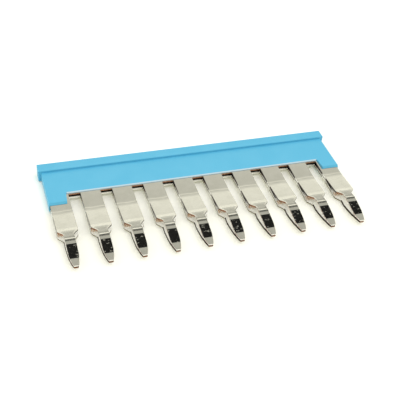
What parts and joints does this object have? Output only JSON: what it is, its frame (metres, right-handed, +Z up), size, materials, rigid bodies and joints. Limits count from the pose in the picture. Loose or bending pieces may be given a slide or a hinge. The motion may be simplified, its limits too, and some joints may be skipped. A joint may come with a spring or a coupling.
{
  "type": "terminal block jumper bar",
  "caption": "Flat plug-in comb with sprung two-leaf metal teeth held in a light blue moulded insulating rail, bridging neighbouring terminal blocks.",
  "frame": {"origin": "middle of the bar in plan, on the surface that it lies on", "axes": "+X along the bar, -Y the way the teeth point, +Z up from the surface that it lies on"},
  "size_m": [0.0512, 0.0232, 0.0022],
  "materials": {
    "blue_plastic": "satin moulded plastic",
    "plated_copper": "bright tin plate with bare copper on the sheared edges"
  },
  "bodies": {
    "root": {"insulating_body": "blue_plastic", "contact_comb": "plated_copper"}
  },
  "joints": []
}
